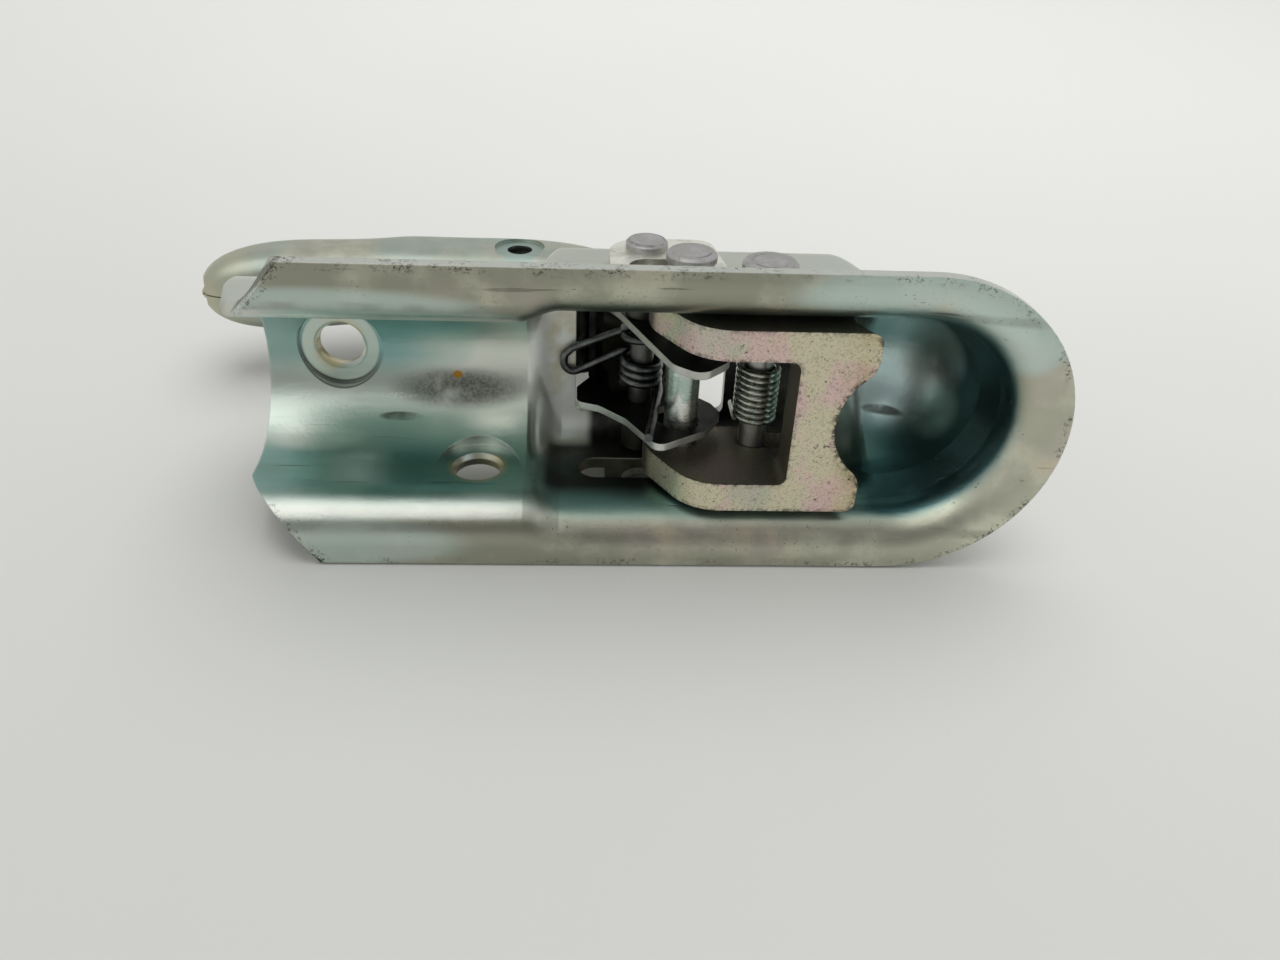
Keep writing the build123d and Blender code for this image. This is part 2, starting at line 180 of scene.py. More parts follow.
bpy.context.scene.view_settings.view_transform = "Standard"
camera = bpy.data.objects.new("camera", bpy.data.cameras.new("camera"))
bpy.context.collection.objects.link(camera)
bpy.context.scene.camera = camera
cameraSet = {
    "lens": 28.99,
    "place": (-85.678, -133.974, -249.458),
    "right": (0.998156, -0.042053, -0.043790),
    "up": (-0.011307, -0.837417, 0.546461),
    "sensor": 36.0,
    "nearest": 0.01,
}
camera.data.lens = cameraSet["lens"]
camera.data.sensor_fit = "HORIZONTAL"
camera.data.sensor_width = cameraSet["sensor"]
camera.data.clip_start = cameraSet["nearest"]
right = Vector(cameraSet["right"]).normalized()
up = Vector(cameraSet["up"]).normalized()
back = right.cross(up)
turn = Matrix((right, up, back)).transposed().to_4x4()
camera.matrix_world = Matrix.Translation(Vector(cameraSet["place"]) * mm) @ turn
print("camera placed")

# table top under the coupling, which lies on its left side
tableSet = {
    "through": (-80.0, 43.6, -17.1),
    "up": (0.0, -0.985, -0.171),
    "half": 3000.0,
    "near": (0.70, 0.705, 0.685),
    "far": (0.965, 0.97, 0.94),
    "rough": 0.5,
    "patch": 240.0,
    "slant": 0.4,
    "wander": 160.0,
    "fade": (-330.0, 620.0),
}
tableUp = Vector(tableSet["up"]).normalized()
tableAcross = Vector((1, 0, 0))
tableFar = tableUp.cross(tableAcross)
middle = Vector(tableSet["through"]) * mm
half = tableSet["half"] * mm
corners = [middle + tableAcross * half * a + tableFar * half * b
           for a, b in ((-1, -1), (1, -1), (1, 1), (-1, 1))]
tableMesh = bpy.data.meshes.new("table")
tableMesh.from_pydata(corners, [], [(0, 1, 2, 3)])
table = bpy.data.objects.new("table", tableMesh)
bpy.context.collection.objects.link(table)
tableTop = Surface("tableTop", 0.0)
# painted light: the table's colour turns lighter towards its far side, along an uneven noisy line
lightWander = tableTop.noise(tableSet["patch"], 4.0) * tableSet["wander"]
reach = (tableTop.z + tableTop.x * tableSet["slant"] + lightWander).between(*tableSet["fade"])
tableTop.feed("Base Color", tableTop.colour(tableSet["near"], tableSet["far"], reach))
tableTop.shader.inputs["Roughness"].default_value = tableSet["rough"]
topTree = tableTop.wire.tree
beneath = tableTop.wire.make("ShaderNodeNewGeometry", out="Backfacing")  # open from underneath
clear = tableTop.wire.make("ShaderNodeBsdfTransparent")
shown = Wire(topTree, tableTop.shader.outputs[0])
mixed = tableTop.wire.make("ShaderNodeMixShader", None, {0: beneath, 1: shown, 2: clear})
topTree.links.new(mixed.out, topTree.nodes["Material Output"].inputs["Surface"])
tableMesh.materials.append(tableTop.material)

# pale room, dimmer on the side where the photographer stands, with a softbox that metal mirrors
roomSet = {
    "white": (1.0, 1.0, 0.985, 1.0),
    "metal": 0.66,
    "table": 0.54,
    "dim": 0.36,
    "dimWay": (0.05, -0.50, -0.86),
    "dimSpread": (0.72, 0.985),
    "softbox": 0.9,
    "softboxWay": (-0.30, -0.84, -0.44),
    "softboxSpread": (0.85, 0.97),
}
world = bpy.data.worlds.new("room")
bpy.context.scene.world = world
world.use_nodes = True
room = Wire(world.node_tree)
room.tree.nodes.clear()
seen = room.make("ShaderNodeLightPath").out.node.outputs
byCamera = Wire(room.tree, seen["Is Camera Ray"])
byGlossy = Wire(room.tree, seen["Is Glossy Ray"])
byMetal = (byGlossy + Wire(room.tree, seen["Is Transmission Ray"])).least(1.0)
way = room.make("ShaderNodeTexCoord", out="Generated")
dimWay = Vector(roomSet["dimWay"]).normalized()
dim = room.dot(way, dimWay).between(*roomSet["dimSpread"])
glow = 1 - dim * (1 - roomSet["dim"])
power = glow * (byMetal * (roomSet["metal"] - roomSet["table"]) + roomSet["table"])
softboxWay = Vector(roomSet["softboxWay"]).normalized()
softbox = room.dot(way, softboxWay).between(*roomSet["softboxSpread"])
power = power + byMetal * softbox * roomSet["softbox"]
power = power * (1 - byCamera) + byCamera
sky = room.make("ShaderNodeBackground", None, {"Color": roomSet["white"], "Strength": power})
ending = room.tree.nodes.new("ShaderNodeOutputWorld")
room.tree.links.new(sky.out, ending.inputs["Surface"])

# wide lamp overhead, for the table's soft shadow
lampSet = {
    "aim": (-70.0, 0.0, 5.0),
    "across": 0.08,
    "above": 1.15,
    "beyond": 0.28,
    "size": 1.2,
    "power": 7.6,
}
lamp = bpy.data.lights.new("over", "AREA")
lamp.shape = "DISK"
lamp.size = lampSet["size"]
lamp.energy = lampSet["power"]
shining = bpy.data.objects.new("over", lamp)
bpy.context.collection.objects.link(shining)
away = tableAcross * lampSet["across"] + tableUp * lampSet["above"] + tableFar * lampSet["beyond"]
shining.location = Vector(lampSet["aim"]) * mm + away
shining.rotation_euler = (-away).to_track_quat("-Z", "Y").to_euler()
shining.visible_glossy = False  # metal mirrors the room and its softbox
print("stage set")

# zinc-plated pressed sheet of the body: straw grey on the flange, blue-green inside
bodySet = {
    "grey": (0.36, 0.365, 0.285),
    "cream": (0.68, 0.68, 0.55),
    "pale": (0.60, 0.74, 0.69),
    "paleAt": (
        ((-150.0, -31.5, 0.0), (50.0, 7.0, 0.0)), ((-155.0, 37.0, 0.0), (44.0, 9.0, 0.0)),
        ((0.0, -37.0, 0.0), (40.0, 12.0, 0.0)), ((24.0, -26.0, 0.0), (16.0, 12.0, 0.0)),
    ),
    "outer": (0.62, 0.65, 0.585),
    "light": (0.60, 0.77, 0.755),
    "blueGreen": (0.22, 0.435, 0.415),
    "deep": (0.11, 0.225, 0.235),
    "roof": (0.82, 0.845, 0.745),
    "straw": (0.66, 0.57, 0.34),
    "pink": (0.60, 0.49, 0.47),
    "dirtAndShade": (0.05, 0.046, 0.038),
    "sootAndShade": (0.026, 0.027, 0.024),
    "smudge": ((-121.0, 11.6, 0.0), (24.0, 6.4, 0.0)),
    "paintDot": ((-121.6, 8.1, 24.8), (1.7, 1.3, 3.0)),
    "paint": (0.50, 0.25, 0.02),
    "bright": (0.82, 0.85, 0.80),
    "glint": ((-138.5, 13.9, 0.0), (6.0, 0.9, 0.0)),
    "smear": ((-138.0, 18.6, 0.0), (7.0, 1.1, 0.0)),
    "streak": ((5.5, 15.0, 0.0), (7.0, 1.5, 0.0)),
    "gleam": (0.98, 1.0, 0.96),
    "crownLight": (0.84, 1.0, 0.97),
    "crown": ((15.0, -7.0, 17.0), (15.0, 18.0, 13.0)),
    "hollow": ((19.3, 11.0, 12.0), (9.0, 11.0, 9.0)),
    "hollowLight": (0.52, 0.80, 0.74),
    "dusk": ((27.0, -3.0, -5.0), (6.0, 17.0, 10.0)),
    "flank": ((-162.0, 22.6, 12.0), (17.0, 4.5, 6.5)),
    "roofBolt": (-155.0, 0.0),
    "wallBolt": (-114.4, 1.0),
    "boltRim": (6.8, 9.5),
    "padTop": (8.0, 10.6),
    "padFoot": (11.4, 12.3),
    "bay": (-94.0, -20.0),
    "window": (-99.0, -84.0),
    "underside": (-17.0, -14.0),
    "sideEdge": 43.2,
    "rearEdge": -175.4,
    "shearX": -158.7,
    "shearSide": 41.0,
    "shearSlope": 0.947,
}


def zincBody():
    skin = Surface("zincBody")
    x, y, z = skin.x, skin.y, skin.z
    normal = skin.parts(skin.facing())
    cloud, veil = skin.noise(52.0, 3.0), skin.noise(15.0, 4.0)
    drawn = skin.noise(3.2, 4.0, (0.12, 1.0, 1.0))  # faint lines along the pressing
    grain, fine = skin.noise(1.1, 3.0), skin.noise(0.35, 2.0)
    side = y.size()
    ahead = normal[0] * x * x.between(0.0, 6.0)  # counts in the round nose only
    # below 0 on the flange and outside, 1 in the hollow
    inward = (normal[1] * y + normal[2] * (z - 1.0) + ahead) * -0.03
    inner = inward.between(0.2, 0.85)
    roof = z.between(4.0, 18.0) * inner
    dome = skin.fromAxis(x, y, (0.0, 0.0))
    inDome = x.between(-18.0, 2.0) * inward.between(0.05, 0.6)
    bay = x.band(*bodySet["bay"], 5.0) * inner * y.between(-26.0, 4.0)

    yellowed = veil.between(0.42, 0.7) * 0.6 + x.between(-50.0, 20.0) * 0.5
    tint = skin.colour(bodySet["grey"], bodySet["cream"], yellowed)
    film = None
    for at in bodySet["paleAt"]:
        film = skin.spot(*at) if film is None else film + skin.spot(*at)
    film = film.least(1.0) * (0.75 + x.between(-60.0, -10.0) * 0.25)
    tint = tint.toward(bodySet["pale"], film * (0.5 + cloud * 0.6).least(1.0))
    outer = (1 - inward.between(-0.5, -0.2)) * normal[2].between(-0.5, 0.0)
    tint = tint.toward(bodySet["outer"], outer * (0.65 + veil * 0.4))
    # painted highlight: the bends between the flange and the hollow lightened
    turned = inward.band(0.15, 0.5, 0.15) * (1 - x.between(-112.0, -84.0))
    tint = tint.toward(bodySet["bright"], turned * (0.4 + veil * 0.5))
    tint = tint.toward(bodySet["blueGreen"], inner * (0.45 + cloud * 0.75).least(1.0))
    # painted highlights: the roof's pale zinc made whiter in patches
    white = x.between(-142.0, -112.0) * y.between(-9.0, 0.0) * 0.75 + y.between(2.0, 11.0) * 0.55
    white = white + x.between(-121.0, -106.0) * y.between(-16.0, -8.0) * 0.6
    tint = tint.toward(bodySet["roof"], roof * (1 - inDome) * (white + veil * 0.2).least(1.0))
    # painted light: the upper part of the dome lightened to pale blue-green
    lit = inDome * z.between(12.0, 20.0) * (1 - x.between(15.0, 22.0))
    tint = tint.toward(bodySet["light"], lit * 0.95)
    # painted shade: the lower side of the dome and the ledge below it darkened to deep blue-green
    shaded = (1 - z.between(9.0, 19.0)) * z.between(-17.0, -8.0) * x.between(-8.0, 10.0)
    ledge = z.between(-16.0, -12.5) * (1 - dome.between(32.5, 35.5)) * x.between(-14.0, 2.0)
    ledge = ledge * (1 - normal[2].between(-0.6, -0.3) + inward.between(0.0, 0.3)).least(1.0)
    shaded = (inDome * shaded * (0.65 + cloud * 0.5) + ledge * (1 - z.between(4.0, 8.0))).least(0.93)
    tint = tint.toward(bodySet["deep"], shaded)
    # painted light and shade: lighter spots on the dome's crown and hollow and on the near wall at the
    # rear, a darker spot on the dome's far side
    tint = tint.toward(bodySet["crownLight"], inner * skin.spot(*bodySet["crown"], core=0.25) * 0.95)
    tint = tint.toward(bodySet["hollowLight"], inner * skin.spot(*bodySet["hollow"], core=0.1) * 0.75)
    tint = tint.toward(bodySet["sootAndShade"], inner * skin.spot(*bodySet["dusk"], core=0.1) * 0.2)
    tint = tint.toward(bodySet["roof"], inner * skin.spot(*bodySet["flank"], core=0.1) * 0.6)
    # darker low in the bay: grime together with painted shade
    tint = tint.toward(bodySet["sootAndShade"], bay * (0.75 + veil * 0.4).least(0.97) * z.between(-12.0, -2.0))
    stain = inward.band(-0.55, 0.1, 0.4) * cloud.between(0.46, 0.62)
    tint = tint.toward(bodySet["pink"], stain * 0.35)
    # painted highlight along the window's rear edge, with the plating's straw tint in places
    windowEdge = x.band(*bodySet["window"], 3.0) * z.between(17.0, 24.0) * inner
    tint = tint.toward(bodySet["gleam"], windowEdge * 0.95)
    tint = tint.toward(bodySet["straw"], windowEdge * veil.between(0.45, 0.65) * 0.55)
    tint = tint.toward(bodySet["straw"], stain * veil.between(0.5, 0.66) * 0.4)
    over, across = skin.fromAxis(x, y, bodySet["roofBolt"]), skin.fromAxis(x, z, bodySet["wallBolt"])
    yellowRim = (1 - over.least(across).between(*bodySet["boltRim"])) * veil.between(0.4, 0.6)
    # painted highlight: a bright ring on the pad around the roof hole
    tint = tint.toward(bodySet["roof"], over.band(*bodySet["padTop"], 0.6) * inner * 0.6)
    tint = tint.toward(bodySet["straw"], yellowRim * 0.75)
    # painted shade: a dark crescent at the foot of the pad, on one side only
    padFootShade = over.band(*bodySet["padFoot"], 0.35) * (y - x * 0.35).between(50.0, 62.0) * inner
    tint = tint.toward(bodySet["dirtAndShade"], padFootShade * 0.8)

    nap = skin.noise(0.9, 3.0)
    smudge = inner * skin.spot(*bodySet["smudge"], core=0.0) * (0.7 + nap.between(0.25, 0.75) * 0.3)
    smudge = smudge * skin.noise(8.0, 2.0).between(0.0, 0.5)
    smear = skin.spot(*bodySet["smear"]) + skin.spot(*bodySet["streak"])
    smear = smear * inward.between(0.2, 0.6) * veil.between(0.3, 0.55)
    tint = tint.toward(bodySet["dirtAndShade"], (smudge * 0.92 + smear * 0.85).least(0.93))
    glint = skin.spot(*bodySet["glint"]) * inner * nap.between(0.45, 0.6)
    tint = tint.toward(bodySet["bright"], glint * 0.7)
    tint = tint.toward(bodySet["paint"], skin.spot(*bodySet["paintDot"]) * inner)

    scored = skin.noise(1.3, 2.0, (0.03, 1.0, 1.0)).between(0.66, 0.72)
    scored = scored * z.band(-7.0, 2.0, 3.0) * inner
    scratch = skin.noise(2.4, 2.0, (0.06, 1.0, 1.0), (0.0, 0.0, 0.35)).between(0.69, 0.73)
    scratch = scratch * (1 - roof)
    rim = (side - 40.5).between(0.0, 2.4) * (1 - x.between(-4.0, 0.0))
    rim = (rim + dome.between(40.4, 42.8) * x.between(-1.0, 2.0)) * (1 - z.between(-16.8, -15.5))
    underside = 1 - z.between(*bodySet["underside"])
    foot = side.band(31.0, 38.0, 2.5) * underside
    crease = side.band(31.6, 32.6, 1.6) * underside * veil.between(0.36, 0.6)
    specks = skin.noise(1.0, 4.0, roughness=0.7)
    cluster = skin.noise(11.0, 3.0).between(0.42, 0.6)
    scuffed = rim * specks.between(0.50, 0.62) * cluster
    scuffed = scuffed + foot * specks.between(0.60, 0.70) * veil.between(0.42, 0.6)
    marred = scuffed * 0.75 + scored * 0.7 + scratch * 0.35 + crease * 0.3
    tint = tint.toward(bodySet["dirtAndShade"], marred.least(0.85))
    edge, rear = bodySet["sideEdge"], bodySet["rearEdge"]
    sheared = (side - edge).between(0.0, 0.2) + dome.between(edge, edge + 0.2) * x.between(0.0, 1.0)
    sheared = (sheared + (1 - x.between(rear - 0.5, rear))).least(1.0)
    tint = tint.toward(bodySet["bright"], sheared * (0.05 + grain * 0.4))
    corner = side.between(26.0, 28.0) * (1 - z.between(-15.0, -13.0))  # cut off at a slant
    cut = x - bodySet["shearX"] + (bodySet["shearSide"] - side) * bodySet["shearSlope"]
    chipped = cut.band(-0.2, 0.8, 0.6) * veil.between(0.30, 0.5)
    chipped = chipped + cut.band(-0.6, 3.4, 1.2) * specks.between(0.52, 0.62)
    tint = tint.toward(bodySet["dirtAndShade"], (corner * chipped * 0.75).least(0.85))
    skin.feed("Base Color", tint)

    dull = 0.23 + veil * 0.14 + fine * 0.05 + drawn.between(0.5, 0.7) * 0.06
    dull = dull + (scuffed + smudge).least(1.0) * 0.22 + bay * 0.12 + windowEdge * 0.2
    skin.feed("Roughness", dull)
    height = veil * 0.55 + drawn * 0.16 + grain * 0.12 - (scored + scratch).least(1.0) * 0.25
    skin.bump(height, 0.26, 0.5)
    return skin.material


# stamped lever: the same zinc, straw at its tip, with the line where its halves meet
leverSet = {
    "grey": (0.47, 0.475, 0.395),
    "cream": (0.60, 0.60, 0.49),
    "blueGreen": (0.36, 0.47, 0.44),
    "straw": (0.52, 0.465, 0.30),
    "bright": (0.95, 0.96, 0.88),
    "dirtAndShade": (0.05, 0.045, 0.035),
    "sootAndShade": (0.018, 0.018, 0.016),
    "eye": (-105.5, 73.0),
    "eyeRim": (7.0, 8.6),
    "tip": (-199.0, -178.0),
    "cheekTop": (22.0, 32.0),
    "neckFoot": (36.0, 39.5),
    "neck": (-90.0, -78.0),
    "seam": (0.12, 0.34),
}


def zincLever():
    skin = Surface("zincLever")
    x, y, z = skin.x, skin.y, skin.z
    cloud, veil = skin.noise(34.0, 3.0), skin.noise(9.0, 4.0)
    grain, specks = skin.noise(0.9, 3.0), skin.noise(1.4, 4.0, roughness=0.7)
    tint = skin.colour(leverSet["grey"], leverSet["cream"], veil.between(0.4, 0.7))
    tint = tint.toward(leverSet["blueGreen"], cloud.between(0.45, 0.68) * 0.6)
    tip = 1 - x.between(*leverSet["tip"])
    tint = tint.toward(leverSet["straw"], tip * (0.2 + veil * 0.45))
    eye = skin.fromAxis(x, z, leverSet["eye"])
    tint = tint.toward(leverSet["blueGreen"], (1 - eye.between(*leverSet["eyeRim"])) * 0.8)
    # darker on the lever's side towards the table
    tint = tint.toward(leverSet["dirtAndShade"], y.between(4.0, 15.0) * (0.2 + veil * 0.4))
    # painted shade: the cheeks and the foot of the neck darkened almost to black
    cheeks = 1 - z.between(*leverSet["cheekTop"])
    footing = (1 - z.between(*leverSet["neckFoot"])) * x.band(*leverSet["neck"], 2.0)
    tint = tint.toward(leverSet["sootAndShade"], ((cheeks + footing) * (0.88 + veil * 0.2)).least(0.985))
    # painted highlight on the edges of the cheeks
    cut = skin.parts(skin.facing())[1].size()
    edges = cheeks * (1 - cut.between(0.25, 0.6))
    tint = tint.toward(leverSet["bright"], edges * (0.3 + veil * 0.8).least(0.9))
    seam = 1 - y.size().between(*leverSet["seam"])
    tint = tint.toward(leverSet["dirtAndShade"], (seam * 0.8 + specks.between(0.68, 0.75) * 0.5).least(0.85))
    skin.feed("Base Color", tint)
    skin.feed("Roughness", 0.27 + veil * 0.16 + grain * 0.06 + cheeks * 0.1)
    skin.bump(veil * 0.5 + grain * 0.12 - seam * 0.9, 0.18, 0.45)
    return skin.material


# plain zinc of the plates and sleeves
plateSet = {
    "grey": (0.92, 0.92, 0.83),
    "dark": (0.62, 0.625, 0.565),
    "dirtAndShade": (0.05, 0.048, 0.04),
    "wall": (27.0, 30.0),
}


def zincPlate():
    skin = Surface("zincPlate")
    veil, grain = skin.noise(7.0, 4.0), skin.noise(0.8, 3.0)
    rub = skin.noise(2.0, 3.0, (0.15, 1.0, 1.0))
    tint = skin.colour(plateSet["grey"], plateSet["dark"], veil.between(0.45, 0.72))
    tint = tint.toward(plateSet["dirtAndShade"], skin.noise(1.3, 4.0).between(0.62, 0.72) * 0.6)
    outward = skin.parts(skin.facing())[1] * skin.y
    sleeve = 1 - skin.y.size().between(*plateSet["wall"])
    innerShade = (1 - outward.between(-20.0, -5.0) + sleeve).least(0.95)  # painted shade on the inner faces and sleeves
    tint = tint.toward(plateSet["dirtAndShade"], innerShade)
    skin.feed("Base Color", tint)
    skin.feed("Roughness", 0.3 + veil * 0.2 + rub * 0.08)
    skin.bump(veil * 0.4 + rub * 0.2 + grain * 0.15, 0.14, 0.3)
    return skin.material


# upset heads of the rivets and of the jaw's pin, seen end on
headSet = {
    "grey": (0.47, 0.465, 0.45),
    "lilac": (0.56, 0.54, 0.555),
    "dirtAndShade": (0.06, 0.058, 0.055),
    "lip": (4.7, 5.2),
}


def upsetHead(skin, axes):
    away = None
    for at in axes:
        one = skin.fromAxis(skin.x, skin.z, at)
        away = one if away is None else away.least(one)
    veil, grain = skin.noise(4.0, 4.0), skin.noise(0.7, 4.0, roughness=0.65)
    tint = skin.colour(headSet["grey"], headSet["lilac"], veil.between(0.38, 0.66))
    tint = tint.toward(headSet["dirtAndShade"], grain.between(0.58, 0.72) * 0.55)
    lip = away.band(*headSet["lip"], 0.4) * veil.between(0.42, 0.6)
    return tint.toward(headSet["dirtAndShade"], lip * 0.5), veil, grain


# rivets of the lever and of the guide: bare shanks, the lever's one oily
rivetSet = {
    "axes": ((-67.8, 20.0), (-35.8, 6.5)),
    "bare": (0.42, 0.43, 0.40),
    "shank": (28.0, 31.0),
    "oily": (-56.0, -48.0),
}


def rivetSteel():
    skin = Surface("rivetSteel")
    tint, veil, grain = upsetHead(skin, rivetSet["axes"])
    shank = 1 - skin.y.size().between(*rivetSet["shank"])
    turned = skin.noise(0.5, 2.0, (0.05, 1.0, 0.05))
    tint = tint.toward(rivetSet["bare"], shank * (0.5 + turned * 0.4))
    tint = tint.toward(headSet["dirtAndShade"], shank * (1 - skin.x.between(*rivetSet["oily"])) * 0.8)
    skin.feed("Base Color", tint)
    skin.feed("Roughness", 0.42 + grain * 0.14 - shank * 0.12)
    skin.bump(veil * 0.8 + grain * 0.35, 0.22, 0.6)
    return skin.material


# turned pin through the jaw: bright, with a blue-green film and the rubbed line of the cheeks
pinSet = {
    "bright": (0.84, 0.86, 0.79),
    "film": (0.48, 0.60, 0.54),
    "rub": (0.16, 0.18, 0.16),
    "axis": (-56.8, 6.5),
    "shank": (31.0, 34.0),
    "cheek": (10.5, 12.4),
}


def pinSteel():
    skin = Surface("pinSteel")
    y = skin.y
    head, veil, grain = upsetHead(skin, [pinSet["axis"]])
    shank = 1 - y.size().between(*pinSet["shank"])
    turned = skin.noise(0.6, 3.0, (0.04, 1.0, 0.04))
    cloud = skin.noise(6.0, 3.0)
    bare = skin.colour(pinSet["bright"], pinSet["film"], cloud.between(0.42, 0.64))
    rub = y.size().band(*pinSet["cheek"], 0.8) * veil.between(0.3, 0.6)
    rub = rub + turned.between(0.62, 0.7) * 0.5
    bare = bare.toward(pinSet["rub"], (rub * 0.7).least(0.8))
    skin.feed("Base Color", head.toward(bare, shank))
    skin.feed("Roughness", 0.42 + grain * 0.12 - shank * (0.26 - turned * 0.14))
    skin.bump(veil * 0.5 + grain * 0.2 + turned * shank * 0.2, 0.18, 0.5)
    return skin.material


# oiled spring wire, black on the lever and bright on the jaw
wireSet = {
    "speck": (0.02, 0.02, 0.018),
    "blackSpring": {"base": (0.10, 0.103, 0.103), "film": (0.19, 0.193, 0.188), "rough": 0.24},
    "brightSpring": {"base": (0.50, 0.52, 0.46), "film": (0.26, 0.285, 0.24), "rough": 0.18},
}


def springSteel(name):
    skin = Surface(name)
    values = wireSet[name]
    veil, grain = skin.noise(3.0, 3.0), skin.noise(0.5, 3.0)
    tint = skin.colour(values["base"], values["film"], veil.between(0.4, 0.68))
    tint = tint.toward(wireSet["speck"], grain.between(0.6, 0.72) * 0.6)
    skin.feed("Base Color", tint)
    skin.feed("Roughness", values["rough"] + veil * 0.16)
    skin.bump(grain * 0.5 + veil * 0.4, 0.06, 0.0)
    return skin.material


# forged jaw: pink and straw plating, fine dark pits, chipped edges, painted shade on its faces that look
# sideways and up
jawSet = {
    "straw": (0.78, 0.72, 0.53),
    "pink": (0.84, 0.63, 0.585),
    "green": (0.58, 0.62, 0.50),
    "gold": (0.58, 0.47, 0.22),
    "pit": (0.05, 0.043, 0.033),
    "oil": (0.085, 0.08, 0.06),
    "tips": (-22.0, -11.0),
}


def platedJaw():
    skin = Surface("platedJaw")
    cloud, patch = skin.noise(16.0, 3.0), skin.noise(21.0, 3.0, turn=(0.6, 0.2, 0.9))
    sand, fine = skin.noise(0.55, 3.0, roughness=0.65), skin.noise(0.22, 2.0)
    pits = skin.noise(1.7, 4.0, roughness=0.75)
    tint = skin.colour(jawSet["straw"], jawSet["pink"], cloud.between(0.44, 0.58))
    tint = tint.toward(jawSet["green"], patch.between(0.50, 0.64) * 0.7)
    tips = skin.x.between(*jawSet["tips"])
    tint = tint.toward(jawSet["gold"], tips * patch.between(0.36, 0.6) * 0.55)
    deep = skin.parts(skin.facing())[2].between(-0.5, -0.2)  # the faces that look sideways and up, darkened as painted shade
    tint = tint.toward(jawSet["oil"], deep * (0.72 + sand * 0.2))
    tint = tint.toward(jawSet["gold"], deep * sand.between(0.58, 0.68) * 0.5)
    tint = tint.toward(jawSet["pit"], sand.between(0.48, 0.66) * 0.3)
    chipped = skin.edges(2.6) * pits.between(0.46, 0.56)
    strewn = skin.noise(20.0, 2.0).between(0.46, 0.62) * 0.03
    marks = (pits + strewn).between(0.65, 0.69) + sand.between(0.69, 0.75) * 0.6 + chipped
    tint = tint.toward(jawSet["pit"], (marks * 0.9).least(0.92))
    marks = marks.least(1.0)
    skin.feed("Base Color", tint)
    skin.feed("Roughness", 0.40 + sand * 0.16 + marks * 0.15)
    skin.feed("Metallic", 0.92 - marks * 0.5)
    skin.bump(sand * 0.5 + fine * 0.25 + cloud * 0.5 - marks * 0.9, 0.14, 0.5)
    return skin.material


finishes = {
    "zinc_body": zincBody(),
    "zinc_lever": zincLever(),
    "zinc_plate": zincPlate(),
    "rivet_steel": rivetSteel(),
    "pin_steel": pinSteel(),
    "black_spring": springSteel("blackSpring"),
    "bright_spring": springSteel("brightSpring"),
    "plated_jaw": platedJaw(),
}
slotOf = {row["node"]: row["material_slot"] for row in frame["record"]["subparts"]}
for name, node in nodes.items():
    node.data.materials.clear()
    node.data.materials.append(finishes[slotOf[name]])
print("finishes laid on")


# wound wire: coils from Spiral nodes, straight runs from the carrier's edges with rounded corners
windSet = {"perTurn": 40, "around": 14, "perCorner": 6}


def springTree(name, coilNames):
    tree = bpy.data.node_groups.new(name, "GeometryNodeTree")
    ends = tree.interface
    ends.new_socket("Geometry", in_out="OUTPUT", socket_type="NodeSocketGeometry")
    ends.new_socket("Runs", in_out="INPUT", socket_type="NodeSocketGeometry")
    for text in ("Wire", "Corner"):
        ends.new_socket(text, in_out="INPUT", socket_type="NodeSocketFloat")
    ends.new_socket("Finish", in_out="INPUT", socket_type="NodeSocketMaterial")
    for coil in coilNames:
        for text in ("Turns", "Radius", "Rise"):
            ends.new_socket(coil + text, in_out="INPUT", socket_type="NodeSocketFloat")
        for text in ("Place", "Turn"):
            ends.new_socket(coil + text, in_out="INPUT", socket_type="NodeSocketVector")
    start = tree.nodes.new("NodeGroupInput")
    given = {one.name: Wire(tree, one) for one in start.outputs if one.name}
    kit = Wire(tree)
    runs = kit.make("GeometryNodeMeshToCurve", None, {"Mesh": given["Runs"]})
    runs = kit.make("GeometryNodeFilletCurve", {"mode": "POLY"},
                    {"Curve": runs, "Count": windSet["perCorner"], "Radius": given["Corner"],
                     "Limit Radius": True})
    paths = [runs]
    for coil in coilNames:
        wound = kit.make("GeometryNodeCurveSpiral", None, {
            "Resolution": windSet["perTurn"], "Rotations": given[coil + "Turns"],
            "Start Radius": given[coil + "Radius"], "End Radius": given[coil + "Radius"],
            "Height": given[coil + "Rise"]})
        paths.append(kit.make("GeometryNodeTransform", None, {
            "Geometry": wound, "Translation": given[coil + "Place"], "Rotation": given[coil + "Turn"]}))
    joined = kit.make("GeometryNodeJoinGeometry", None, {"Geometry": paths})
    ring = kit.make("GeometryNodeCurvePrimitiveCircle", None,
                    {"Resolution": windSet["around"], "Radius": given["Wire"] * 0.5})
    body = kit.make("GeometryNodeCurveToMesh", None,
                    {"Curve": joined, "Profile Curve": ring, "Fill Caps": True})
    body = kit.make("GeometryNodeSetShadeSmooth", None, {"Geometry": body})
    body = kit.make("GeometryNodeRealizeInstances", None, {"Geometry": body})
    body = kit.make("GeometryNodeSetMaterial", None, {"Geometry": body, "Material": given["Finish"]})
    tree.links.new(body.out, tree.nodes.new("NodeGroupOutput").inputs[0])
    return tree


